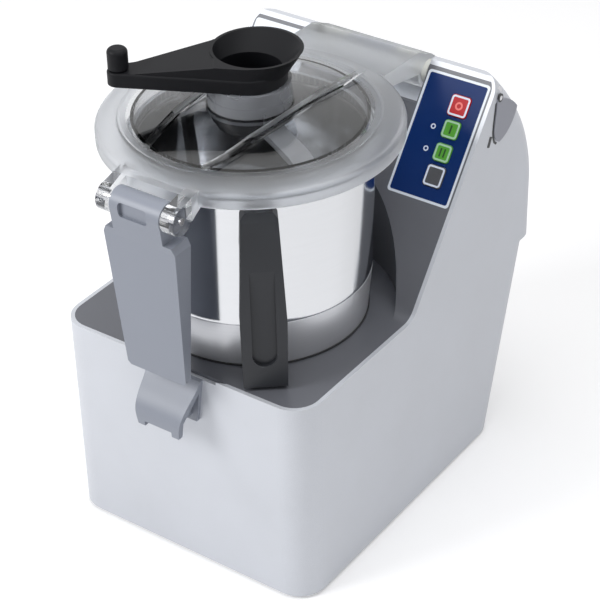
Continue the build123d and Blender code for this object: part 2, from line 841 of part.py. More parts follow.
def knife(low_z, turn, reach):
    """Two ground sickle blades on a ring about the hub, swept backwards from the way they turn."""
    tip = (reach * cos(radians(-14)), reach * sin(radians(-14)))
    heel = (tip[0] - 9, tip[1] - 1)
    with BuildPart(mode=Mode.PRIVATE) as blade:
        for lift, rise, slant in ((0, knife_land, 0), (knife_land, knife_t - knife_land, knife_grind)):
            with BuildSketch(bench.offset(low_z + lift)):
                with BuildLine():
                    ThreePointArc((20, -18), (reach * 0.62, -2), heel)
                    Line(heel, tip)
                    ThreePointArc(tip, (reach * 0.72, knife_w * 0.85), (16, 23))
                    Line((16, 23), (20, -18))
                make_face()
            extrude(amount=rise, taper=slant)
    with BuildPart(mode=Mode.PRIVATE) as pair:
        with BuildSketch(bench.offset(low_z)):
            Circle(hub_r + 6)
        extrude(amount=knife_t)
        for half_turn in (0, 180):
            add(blade.part.rotate(shaft, turn + half_turn))
        with BuildSketch(bench.offset(low_z)):
            Circle(hub_r - knife_seat)
        extrude(amount=knife_t, mode=Mode.SUBTRACT)
    return pair.part


with BuildPart() as lower_knife:
    add(knife(knife_z[0], 20, knife_r - 2))
lower_knife.part.label = "lower_knife"
export_step(lower_knife.part, "parts/lower_knife.step")

with BuildPart() as upper_knife:
    add(knife(knife_z[1], 110, knife_r))
upper_knife.part.label = "upper_knife"
export_step(upper_knife.part, "parts/upper_knife.step")

# Lid, in its closed place
dome_fall = (dome_z - lid_step_z) / (lid_inner_r - dome_flat_r)
skirt_top = under_z - (skirt_r - skirt_t - dome_flat_r) * dome_fall

with BuildPart() as lid_dome:
    with BuildSketch(front_view):
        with BuildLine():
            rim_top = (lid_r - 0.7 * rim_round, lid_shoulder)
            rim_side = (lid_r, lid_shoulder - rim_round)
            rim_in = lid_r - dome_t
            skirt_in = skirt_r - skirt_t
            Polyline((skirt_in, skirt_low), (skirt_r, skirt_low), (skirt_r, skirt_top - skirt_t * dome_fall),
                     (lid_inner_r, lid_step_z - dome_t), (lid_inner_r + 2.5, lid_step_z - dome_t + 0.4),
                     (rim_in - 2.4, lid_shoulder - 3.2), (rim_in, lid_shoulder - 6.5), (rim_in, lid_low),
                     (lid_r, lid_low), rim_side)
            ThreePointArc(rim_side, (lid_r - 0.2 * rim_round, lid_shoulder - 0.28 * rim_round), rim_top)
            Polyline(rim_top, (lid_inner_r + 2, lid_inner_z), (lid_inner_r, lid_step_z),
                     (dome_flat_r, dome_z), (collar_seat_r, dome_z), (collar_seat_r, under_z),
                     (dome_flat_r, under_z), (skirt_in, skirt_top), (skirt_in, skirt_low))
        make_face()
    revolve(axis=shaft)
    for side in (-1, 1):
        with BuildSketch(bench.offset(under_z - 3)):
            with BuildLine():
                Spline((side * rib_front, -100), (side * (rib_back - 3), -35), (side * rib_back, 76),
                       (side * rib_back, 118), tangents=((side * 0.4, 1), (0, 1)))
            trace(line_width=rib_w)
        extrude(amount=rib_z - under_z + 3)
    with BuildSketch(front_view):
        with BuildLine():
            Polyline((0, skirt_low), (0, rib_z - 1), (60, rib_z - 2), (lid_inner_r + 4, lid_inner_z + 3),
                     (lid_r - 2, lid_shoulder + 1), (lid_r, lid_shoulder - 3), (lid_r, skirt_low),
                     close=True)
        make_face()
    revolve(axis=shaft, mode=Mode.INTERSECT)
    with BuildSketch(side_view):
        with BuildLine():
            root = lid_r - 12
            near = hinge_y - hinge_barrel_r
            Polyline((root, lid_low), (root, lid_shoulder), (near, lid_shoulder - 1.5),
                     (hinge_y + 8, hinge_z + 13), (hinge_y, hinge_z), (near, hinge_z + 3), close=True)
        make_face()
        with Locations((hinge_y, hinge_z)):
            Circle(hinge_barrel_r)
    extrude(amount=hinge_barrel_half, both=True)
    barrel_hole = across(bush_r, 0, hinge_y, hinge_z, -hinge_barrel_half, hinge_barrel_half)
    add(barrel_hole, mode=Mode.SUBTRACT)
    with BuildSketch(side_view):
        with BuildLine():
            apron_y = latch_y + latch_barrel_r + latch_gap
            apron_in = 6 - lid_r
            Polyline((apron_y, lid_low + 0.5), (apron_y, lid_shoulder - 2), (3 - lid_r, lid_shoulder + 0.3),
                     (apron_in, lid_shoulder + 0.3), (apron_in, lid_low + 0.5), close=True)
        make_face()
    extrude(amount=ear_in + 1.5, both=True)
    for side in (-1, 1):
        with BuildSketch(side_view.offset(side * ear_in)):
            with BuildLine():
                ear_root = 13 - lid_r
                Polyline((latch_y, latch_z + latch_barrel_r), (apron_in, lid_shoulder),
                         (ear_root, lid_shoulder), (ear_root, lid_low), (latch_y + 11, latch_z - 6),
                         (latch_y, latch_z), close=True)
            make_face()
            with Locations((latch_y, latch_z)):
                Circle(latch_barrel_r)
        extrude(amount=side * (ear_out - ear_in))
    add(across(latch_pin_r, 0, latch_y, latch_z, -ear_out, ear_out), mode=Mode.SUBTRACT)
lid_dome.part.label = "lid_dome"
export_step(lid_dome.part, "parts/lid_dome.step")

with BuildPart() as lid_seal:
    add(ring(skirt_r + 2, skirt_r, skirt_low + 2, lid_low))
lid_seal.part.label = "lid_seal"
export_step(lid_seal.part, "parts/lid_seal.step")

with BuildPart() as lid_collar:
    add(ring(dome_flat_r, collar_bore, under_z - 3, under_z))
    add(ring(collar_seat_r, collar_bore, under_z, dome_z))
    add(ring(collar_r + 0.8, collar_bore, dome_z, dome_z + 8.5))
    add(ring(collar_r, collar_bore, dome_z + 8.5, collar_top))
lid_collar.part.label = "lid_collar"
export_step(lid_collar.part, "parts/lid_collar.step")


with BuildPart() as hinge_bushes:
    for side in (-1, 1):
        end = side * hinge_barrel_half
        washer = side * (tower_inner - loose)
        add(across(bush_r, hinge_shaft_r + running, hinge_y, hinge_z, side * 25, end))
        add(across(hinge_barrel_r - 4, hinge_shaft_r + running, hinge_y, hinge_z, end, washer))
hinge_bushes.part.label = "hinge_bushes"
export_step(hinge_bushes.part, "parts/hinge_bushes.step")

with BuildPart() as hinge_shaft:
    add(across(hinge_shaft_r, 0, hinge_y, hinge_z, -shaft_half, shaft_half))
hinge_shaft.part.label = "hinge_shaft"
export_step(hinge_shaft.part, "parts/hinge_shaft.step")

with BuildPart() as latch_pin:
    add(across(latch_pin_r, 0, latch_y, latch_z, -ear_out, ear_out))
latch_pin.part.label = "latch_pin"
export_step(latch_pin.part, "parts/latch_pin.step")

# Scraper, turned by its crank
crank_way = (cos(radians(crank_turn)), sin(radians(crank_turn)), 0)
crank_plane = Plane(origin=(0, shaft_y, 0), x_dir=crank_way, z_dir=(crank_way[1], -crank_way[0], 0))
crank_end = (crank_reach * crank_way[0], crank_reach * crank_way[1])

with BuildPart() as crank_ramp:
    with BuildSketch(bench.offset(arm_low)):
        Circle(neck_r)
        with Locations(crank_end):
            Circle(crank_end_r - 2)
        make_hull()
    extrude(amount=dish_z - arm_low)
    with BuildSketch(crank_plane):
        with BuildLine():
            past = crank_reach + 20
            under = arm_low - 1
            ramp_end = crank_reach - crank_end_r
            Polyline((neck_r - 6, dish_z + 1), (neck_r - 2, dish_z - 0.5), (ramp_end, arm_high - 0.5),
                     (ramp_end + 4, under), (past, under), (past, dish_z + 1), close=True)
        make_face()
    extrude(amount=40, both=True, mode=Mode.SUBTRACT)

with BuildPart() as crank_throat:
    with BuildSketch(front_view):
        with BuildLine():
            throat_top = arm_high - 4
            Polyline((0, tube_low - 1), (tube_bore, tube_low - 1), (tube_bore, scraper_hub_top),
                     (throat_r, scraper_hub_top + 10), (throat_r, throat_top), (0, throat_top), close=True)
        make_face()
    revolve(axis=shaft)
    with BuildSketch(bench.offset(arm_high - 4)):
        Circle(throat_r)
    with BuildSketch(bench.offset(dish_z)):
        with Locations((dish_x, dish_y)):
            Circle(dish_r - dish_wall)
    loft()

with BuildPart() as crank_funnel:
    with BuildSketch(bench.offset(arm_low)):
        Circle(neck_r + 0.7)
        with Locations(crank_end):
            Circle(crank_end_r)
        make_hull()
    extrude(amount=arm_high - arm_low)
    fillet(crank_funnel.faces().sort_by(Axis.Z)[-1].edges(), 2)
    add(crank_ramp.part)
    add(ring(neck_r, 0, neck_low, arm_low + 1))
    add(ring(collar_bore - running, 0, scraper_hub_top, neck_low))
    add(ring(tube_r, 0, tube_low, scraper_hub_top))
    with BuildSketch(bench.offset(arm_low + 3)):
        Circle(neck_r - 1)
    with BuildSketch(bench.offset(dish_z)):
        with Locations((dish_x, dish_y)):
            Circle(dish_r)
    loft()
    add(crank_throat.part, mode=Mode.SUBTRACT)
crank_funnel.part.label = "crank_funnel"
export_step(crank_funnel.part, "parts/crank_funnel.step")

with BuildPart() as crank_knob:
    with BuildSketch(bench.offset(arm_high)):
        with Locations(crank_end):
            Circle(knob_r)
    extrude(amount=knob_top - arm_high)
    fillet(crank_knob.faces().sort_by(Axis.Z)[-1].edges(), 4)
    chamfer(crank_knob.faces().sort_by(Axis.Z)[0].edges(), 1.5)
crank_knob.part.label = "crank_knob"
export_step(crank_knob.part, "parts/crank_knob.step")

with BuildPart() as scraper_hub:
    add(ring(tube_r + 4, tube_r, tube_low, tube_low + 7))
    add(ring(tube_r + 8, tube_r, tube_low + 7, scraper_hub_top))
scraper_hub.part.label = "scraper_hub"
export_step(scraper_hub.part, "parts/scraper_hub.step")

arm_way = (cos(radians(scraper_turn)), sin(radians(scraper_turn)), 0)
arm_plane = Plane(origin=(0, shaft_y, 0), x_dir=arm_way, z_dir=(arm_way[1], -arm_way[0], 0))
arm_knee = (bowl_top_r - 42, tube_low - 4.9)
arm_tip = (bowl_top_r - 10.5, tube_low - 24.9)
arm_under = (bowl_top_r - 13, tube_low - 29.9)

with BuildPart() as scraper_arm:
    with BuildSketch(arm_plane):
        with BuildLine():
            knee_under = (arm_knee[0] - 2, arm_knee[1] - 5.5)
            Polyline((tube_r, tube_low + 7), arm_knee, arm_tip, arm_under, knee_under,
                     (tube_r + 4, tube_low), (tube_r, tube_low), close=True)
        make_face()
        mirror(about=Plane.YZ)
    extrude(amount=scraper_w / 2, both=True)
    add(ring(tube_r + 4, 0, tube_low - 1, tube_low + 8), mode=Mode.SUBTRACT)
    add(ring(tube_r + 8, 0, tube_low + 7, tube_low + 9), mode=Mode.SUBTRACT)
scraper_arm.part.label = "scraper_arm"
export_step(scraper_arm.part, "parts/scraper_arm.step")

with BuildPart() as scraper_blades:
    with BuildSketch(arm_plane):
        with BuildLine():
            wiper_top = (arm_tip[0] + 2.5, arm_tip[1] + 1)
            wiper_in = (arm_tip[0] - 6.5, arm_under[1] - 7)
            wiper_back = (wiper_in[0] - 1, arm_under[1] + 2.8)
            Polyline(wiper_top, (scraper_low_r, scraper_low), (scraper_low_r - blade_w, scraper_low),
                     wiper_in, wiper_back, arm_under, arm_tip, close=True)
        make_face()
        mirror(about=Plane.YZ)
    extrude(amount=4, both=True)
scraper_blades.part.label = "scraper_blades"
export_step(scraper_blades.part, "parts/scraper_blades.step")

# Latch and catch
latch_brow = latch_shoulder - 6

with BuildPart() as latch_front:
    with BuildSketch(front_view.offset(-latch_y - 60)):
        with BuildLine():
            over = latch_z + 30
            Polyline((0, latch_low), (latch_low_half - 3, latch_low), (latch_low_half, latch_low + 3),
                     (latch_top_half, latch_brow), (latch_top_half - 3, latch_shoulder),
                     (latch_barrel_half, latch_shoulder), (latch_barrel_half, over), (0, over))
            mirror(about=Plane.YZ)
        make_face()
    extrude(amount=120)

with BuildPart() as latch_lever:
    with BuildSketch(side_view):
        with BuildLine():
            Polyline((latch_y - latch_barrel_r, latch_z), (latch_face_top, latch_brow),
                     (latch_face_low, latch_low), (latch_back_low, latch_low),
                     (latch_back_top, latch_shoulder), (latch_y + latch_barrel_r, latch_z), close=True)
        make_face()
        with Locations((latch_y, latch_z)):
            Circle(latch_barrel_r)
    extrude(amount=latch_top_half, both=True)
    add(latch_front.part, mode=Mode.INTERSECT)
    with BuildSketch(side_view):
        with BuildLine():
            hollow_top = latch_brow - latch_t
            hollow_low = latch_low + latch_t
            Polyline((latch_face_top + latch_t, hollow_top), (latch_face_low + latch_t, hollow_low),
                     (latch_back_low + 20, hollow_low), (latch_back_top + 20, hollow_top), close=True)
        make_face()
    extrude(amount=latch_low_half - latch_t, both=True, mode=Mode.SUBTRACT)
    add(across(latch_pin_r + running, 0, latch_y, latch_z, -ear_out, ear_out), mode=Mode.SUBTRACT)
    with BuildSketch(front_view.offset(-latch_y + latch_barrel_r)):
        with Locations((-2, latch_z - 1)):
            RectangleRounded(28, 13, 3)
    extrude(amount=-3.5, mode=Mode.SUBTRACT)
latch_lever.part.label = "latch_lever"
export_step(latch_lever.part, "parts/latch_lever.step")

catch_face = -body_front - 4
catch_lip = 2 - body_front - catch_nose

with BuildPart() as catch:
    with BuildSketch(side_view):
        with BuildLine():
            Spline((catch_face, catch_top), (catch_lip + 8, catch_top - 19), (catch_lip, catch_top - 31),
                   (catch_lip, catch_low), tangents=((-0.4, -1), (0.1, -1)))
            lip_in = catch_lip + catch_t
            Polyline((catch_lip, catch_low), (lip_in, catch_low), (lip_in, catch_low + 14),
                     (catch_lip + 12, catch_top - 26), (catch_face, catch_top - 12),
                     (catch_face, catch_low + 4), (-body_front, catch_low + 4),
                     (-body_front, catch_top), (catch_face, catch_top))
        make_face()
    extrude(amount=catch_half, both=True)
    with BuildSketch(side_view):
        with BuildLine():
            Polyline((catch_face + 2, catch_low + 10), (catch_lip + 2, catch_low + 10),
                     (catch_lip + 2, catch_top - 34), (catch_face + 2, catch_top - 10), close=True)
        make_face()
    extrude(amount=web_half + 3, both=True)
    with BuildSketch(side_view):
        with BuildLine():
            Polyline((catch_face, catch_low - 10), (catch_lip - 2, catch_low - 10),
                     (catch_lip - 2, catch_top - 44), (catch_lip + 6, catch_top - 34),
                     (catch_face, catch_top - 14), close=True)
        make_face()
    extrude(amount=web_half, both=True, mode=Mode.SUBTRACT)
    with BuildSketch(front_view.offset(body_front + 50)):
        with BuildLine():
            Polyline((0, catch_low - 2), (catch_half - 7, catch_low - 2), (catch_half, catch_top + 2),
                     (0, catch_top + 2))
            mirror(about=Plane.YZ)
        make_face()
    extrude(amount=-50, mode=Mode.INTERSECT)
catch.part.label = "catch"
export_step(catch.part, "parts/catch.step")

# Electrics
with BuildPart() as control_board:
    board_z = body_lift + plate_t + 8
    with BuildSketch(bench.offset(body_lift + plate_t)):
        with Locations((board_x, board_y)):
            with GridLocations(board_w - 10, board_h - 10, 2, 2):
                Circle(3)
    extrude(amount=8)
    with BuildSketch(bench.offset(board_z)):
        with Locations((board_x, board_y)):
            Rectangle(board_w, board_h)
    extrude(amount=board_t)
    with BuildSketch(bench.offset(board_z + board_t)):
        with Locations((board_x - 8, board_y + 22), (board_x - 8, board_y)):
            Circle(7)
        with Locations((board_x + 8, board_y - 22)):
            Rectangle(16, 30)
    extrude(amount=20)
control_board.part.label = "control_board"
export_step(control_board.part, "parts/control_board.step")

with BuildPart() as lid_switch:
    with BuildSketch(side_view.offset(tower_inner + wall)):
        with Locations((hinge_y - 6, hinge_z - 27)):
            Rectangle(20, 14)
    extrude(amount=10)
    with BuildSketch(side_view.offset(tower_inner + wall + 2)):
        with Locations((hinge_y - 4, hinge_z - 18)):
            Rectangle(2, 10, rotation=-30)
    extrude(amount=5)
lid_switch.part.label = "lid_switch"
export_step(lid_switch.part, "parts/lid_switch.step")
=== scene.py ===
"""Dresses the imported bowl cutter: a finish for each node, the panel's marks, the side fittings and a studio.

Lengths are in metres, in the pack's own frame. On the machine, places along Y start from the drive shaft.
"""

import json
from math import cos, pi, radians, sin

import bmesh
import bpy
from mathutils import Matrix, Vector


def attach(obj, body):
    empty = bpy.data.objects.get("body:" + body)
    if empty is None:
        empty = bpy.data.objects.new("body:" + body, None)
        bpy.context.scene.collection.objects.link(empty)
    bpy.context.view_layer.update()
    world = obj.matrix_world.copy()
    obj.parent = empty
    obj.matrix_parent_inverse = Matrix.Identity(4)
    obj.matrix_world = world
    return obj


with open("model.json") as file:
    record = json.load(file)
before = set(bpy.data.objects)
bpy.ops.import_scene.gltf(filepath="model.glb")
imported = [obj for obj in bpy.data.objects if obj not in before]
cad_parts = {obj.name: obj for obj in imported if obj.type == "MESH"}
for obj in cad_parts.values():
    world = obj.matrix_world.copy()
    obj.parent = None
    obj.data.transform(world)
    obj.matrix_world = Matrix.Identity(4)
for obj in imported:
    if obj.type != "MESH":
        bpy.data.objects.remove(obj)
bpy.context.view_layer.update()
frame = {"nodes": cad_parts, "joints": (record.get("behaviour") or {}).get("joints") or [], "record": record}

# Where the drive shaft stands along Y
SHAFT_Y = next(joint["pos_m"][1] for joint in frame["joints"] if joint["name"] == "knife_spin")


# Shared surface effects

# How little a turned line changes on its way round
ALONG_LINE = 0.004

# How far in front of the drive shaft the lid's clear front ears begin
EAR_LINE = 0.1295

# How fast the milky rim, the part behind the ears and the ribs set in, in shares of full per metre
RIM_RATE = 400
EAR_RATE = 600
RIB_RATE = 2000

# How much rougher clear plastic is where it is smeared
SMEAR_ROUGHNESS = 0.04

# The places of a Mix node's factor, its two ends and its result, for what it mixes
MIX_SOCKETS = {"FLOAT": (0, 2, 3, 0), "RGBA": (0, 6, 7, 2)}


def effect_group(name, inputs, outputs):
    """An empty shader node group with named sockets, its input node and its output node."""
    group = bpy.data.node_groups.new(name, "ShaderNodeTree")
    for label, kind, value in inputs:
        socket = group.interface.new_socket(name=label, in_out="INPUT", socket_type=kind)
        socket.default_value = value
    for label, kind in outputs:
        group.interface.new_socket(name=label, in_out="OUTPUT", socket_type=kind)
    return group, group.nodes.new("NodeGroupInput"), group.nodes.new("NodeGroupOutput")


def wire(tree, *pairs):
    """Links outputs to inputs, each pair written as (node, socket, node, socket)."""
    for source, out_name, target, in_name in pairs:
        tree.links.new(source.outputs[out_name], target.inputs[in_name])


def calculate(tree, operation, first, second=0.5, clamp=False):
    """A Math node on two values, each a number or a (node, socket) pair."""
    node = tree.nodes.new("ShaderNodeMath")
    node.operation = operation
    node.use_clamp = clamp
    for place, value in enumerate((first, second)):
        if isinstance(value, tuple):
            tree.links.new(value[0].outputs[value[1]], node.inputs[place])
        else:
            node.inputs[place].default_value = value
    return node


def mix(tree, kind, factor, first, second):
    """A Mix node between two (node, socket) pairs, given back as such a pair for its result."""
    node = tree.nodes.new("ShaderNodeMix")
    node.data_type = kind
    *places, result = MIX_SOCKETS[kind]
    for place, (source, name) in zip(places, (factor, first, second)):
        tree.links.new(source.outputs[name], node.inputs[place])
    return node, result


def noise(tree, detail, scale=None):
    """A noise texture. Where it is given no scale, one is linked to it."""
    texture = tree.nodes.new("ShaderNodeTexNoise")
    texture.inputs["Detail"].default_value = detail
    if scale is not None:
        texture.inputs["Scale"].default_value = scale
    return texture


def about_the_shaft(tree):
    """The object coordinates, their parts, and the distances behind the drive shaft and out from it."""
    place = tree.nodes.new("ShaderNodeTexCoord")
    split = tree.nodes.new("ShaderNodeSeparateXYZ")
    wire(tree, (place, "Object", split, "Vector"))
    deep = calculate(tree, "SUBTRACT", (split, "Y"), SHAFT_Y)
    xx = calculate(tree, "MULTIPLY", (split, "X"), (split, "X"))
    yy = calculate(tree, "MULTIPLY", (deep, "Value"), (deep, "Value"))
    square = calculate(tree, "ADD", (xx, "Value"), (yy, "Value"))
    return place, split, deep, calculate(tree, "SQRT", (square, "Value"))


def spread_colour(tree, given, put, change):
    """Makes the given colour lighter and darker by a change about 0, times Color Spread."""
    tone = calculate(tree, "MULTIPLY", (change, "Value"), (given, "Color Spread"))
    bright = calculate(tree, "ADD", (tone, "Value"), 1.0)
    shade = tree.nodes.new("ShaderNodeHueSaturation")
    wire(tree, (given, "Color", shade, "Color"), (bright, "Value", shade, "Value"),
         (shade, "Color", put, "Color"))


def spread_roughness(tree, given, put, change):
    """Makes the given roughness higher and lower by a change about 0, times Roughness Spread."""
    spread = calculate(tree, "MULTIPLY", (change, "Value"), (given, "Roughness Spread"))
    rough = calculate(tree, "ADD", (spread, "Value"), (given, "Roughness"), clamp=True)
    wire(tree, (rough, "Value", put, "Roughness"))


def moulded_grain():
    """Fine skin of a moulded or blasted surface: speckled colour, uneven roughness and a shallow height."""
    group, given, put = effect_group(
        "moulded_grain",
        (("Color", "NodeSocketColor", (0.5, 0.5, 0.5, 1)), ("Scale", "NodeSocketFloat", 900.0),
         ("Color Spread", "NodeSocketFloat", 0.06), ("Roughness", "NodeSocketFloat", 0.5),
         ("Roughness Spread", "NodeSocketFloat", 0.1)),
        (("Color", "NodeSocketColor"), ("Roughness", "NodeSocketFloat"), ("Height", "NodeSocketFloat")))
    place = group.nodes.new("ShaderNodeTexCoord")
    fine = noise(group, detail=3)
    broad = noise(group, detail=4, scale=14)
    wire(group, (place, "Object", fine, "Vector"), (given, "Scale", fine, "Scale"),
         (place, "Object", broad, "Vector"), (fine, "Fac", put, "Height"))
    both = calculate(group, "ADD", (fine, "Fac"), (broad, "Fac"))
    spread_colour(group, given, put, calculate(group, "SUBTRACT", (both, "Value"), 1.0))
    spread_roughness(group, given, put, calculate(group, "SUBTRACT", (broad, "Fac"), 0.5))
    return group


def turned_lines():
    """Lines left by turning or polishing round the drive shaft, with cloudy handling marks."""
    group, given, put = effect_group(
        "turned_lines",
        (("Color", "NodeSocketColor", (0.75, 0.75, 0.76, 1)), ("Line Scale", "NodeSocketFloat", 900.0),
         ("Roughness", "NodeSocketFloat", 0.15), ("Roughness Spread", "NodeSocketFloat", 0.08),
         ("Color Spread", "NodeSocketFloat", 0.08)),
        (("Color", "NodeSocketColor"), ("Roughness", "NodeSocketFloat"), ("Height", "NodeSocketFloat")))
    place, split, deep, out = about_the_shaft(group)
    turn = calculate(group, "ARCTAN2", (deep, "Value"), (split, "X"))
    slow = calculate(group, "MULTIPLY", (turn, "Value"), ALONG_LINE)
    join = group.nodes.new("ShaderNodeCombineXYZ")
    wire(group, (slow, "Value", join, "X"), (out, "Value", join, "Y"), (split, "Z", join, "Z"))
    lines = noise(group, detail=2)
    cloud = noise(group, detail=5, scale=22)
    wire(group, (join, "Vector", lines, "Vector"), (given, "Line Scale", lines, "Scale"),
         (place, "Object", cloud, "Vector"), (lines, "Fac", put, "Height"))
    spread_colour(group, given, put, calculate(group, "SUBTRACT", (lines, "Fac"), 0.5))
    spread_roughness(group, given, put, calculate(group, "SUBTRACT", (cloud, "Fac"), 0.45))
    return group


def frosted_rim():
    """Clear plastic, milky on its ribs and outside a circle about the shaft, clear at the front ears."""
    group, given, put = effect_group(
        "frosted_rim",
        (("Color", "NodeSocketColor", (0.96, 0.98, 1, 1)),
         ("Rim Color", "NodeSocketColor", (0.9, 0.92, 0.95, 1)),
         ("Rim Start", "NodeSocketFloat", 0.101), ("Rib Foot", "NodeSocketFloat", 0.39),
         ("Roughness", "NodeSocketFloat", 0.04), ("Rim Roughness", "NodeSocketFloat", 0.5)),
        (("Color", "NodeSocketColor"), ("Roughness", "NodeSocketFloat")))
    place, split, deep, out = about_the_shaft(group)
    past = calculate(group, "SUBTRACT", (out, "Value"), (given, "Rim Start"))
    milky = calculate(group, "MULTIPLY", (past, "Value"), RIM_RATE, clamp=True)
    before = calculate(group, "ADD", (deep, "Value"), EAR_LINE)
    behind = calculate(group, "MULTIPLY", (before, "Value"), EAR_RATE, clamp=True)
    outer = calculate(group, "MULTIPLY", (milky, "Value"), (behind, "Value"))
    above = calculate(group, "SUBTRACT", (split, "Z"), (given, "Rib Foot"))
    raised = calculate(group, "MULTIPLY", (above, "Value"), RIB_RATE, clamp=True)
    ribs = calculate(group, "MULTIPLY", (raised, "Value"), (behind, "Value"))
    mask = calculate(group, "MAXIMUM", (outer, "Value"), (ribs, "Value"))
    tint = mix(group, "RGBA", (mask, "Value"), (given, "Color"), (given, "Rim Color"))
    gloss = mix(group, "FLOAT", (mask, "Value"), (given, "Roughness"), (given, "Rim Roughness"))
    smear = noise(group, detail=2, scale=40)
    uneven = calculate(group, "MULTIPLY", (smear, "Fac"), SMEAR_ROUGHNESS)
    rough = calculate(group, "ADD", (uneven, "Value"), gloss, clamp=True)
    wire(group, (place, "Object", smear, "Vector"), (*tint, put, "Color"), (rough, "Value", put, "Roughness"))
    return group


grain = moulded_grain()
turning = turned_lines()
frosting = frosted_rim()


def skinned(name, effect, settings):
    """A material whose roughness comes from an effect, its shader and the effect's node."""
    material = bpy.data.materials.new(name)
    material.use_nodes = True
    tree = material.node_tree
    shader = tree.nodes["Principled BSDF"]
    skin = tree.nodes.new("ShaderNodeGroup")
    skin.node_tree = effect
    for socket, value in settings.items():
        skin.inputs[socket].default_value = value
    wire(tree, (skin, "Roughness", shader, "Roughness"))
    return material, shader, skin


def finish(name, colour, effect=grain, scale=900.0, roughness=0.5, roughness_spread=0.1, colour_spread=0.06,
           depth=0.05, **fixed):
    """A material with one shared effect on colour, roughness and bump. Other sockets keep plain numbers."""
    material, shader, skin = skinned(name, effect, {
        "Color": (*colour, 1), "Line Scale" if effect is turning else "Scale": scale, "Roughness": roughness,
        "Roughness Spread": roughness_spread, "Color Spread": colour_spread})
    bump = material.node_tree.nodes.new("ShaderNodeBump")
    bump.inputs["Strength"].default_value = depth
    bump.inputs["Distance"].default_value = 0.0004
    wire(material.node_tree, (skin, "Color", shader, "Base Color"), (skin, "Height", bump, "Height"),
         (bump, "Normal", shader, "Normal"))
    for socket, value in fixed.items():
        shader.inputs[socket.replace("_", " ")].default_value = value
    return material


def clear_finish(name, colour, rim_start, rib_foot, roughness, rim_roughness, rim_colour=None, clearness=1.0):
    """Clear moulded plastic, rougher outside a circle about the drive shaft and above a rib's foot.

    There it also takes the rim's colour. Where none is given, it has one colour all over.
    """
    material, shader, skin = skinned(name, frosting, {
        "Rim Start": rim_start, "Rib Foot": rib_foot, "Roughness": roughness, "Rim Roughness": rim_roughness})
    if rim_colour is None:
        shader.inputs["Base Color"].default_value = (*colour, 1)
    else:
        skin.inputs["Color"].default_value = (*colour, 1)
        skin.inputs["Rim Color"].default_value = (*rim_colour, 1)
        wire(material.node_tree, (skin, "Color", shader, "Base Color"))
    shader.inputs["Transmission Weight"].default_value = clearness
    shader.inputs["IOR"].default_value = 1.46
    return material


# Finishes, one for each slot of the record

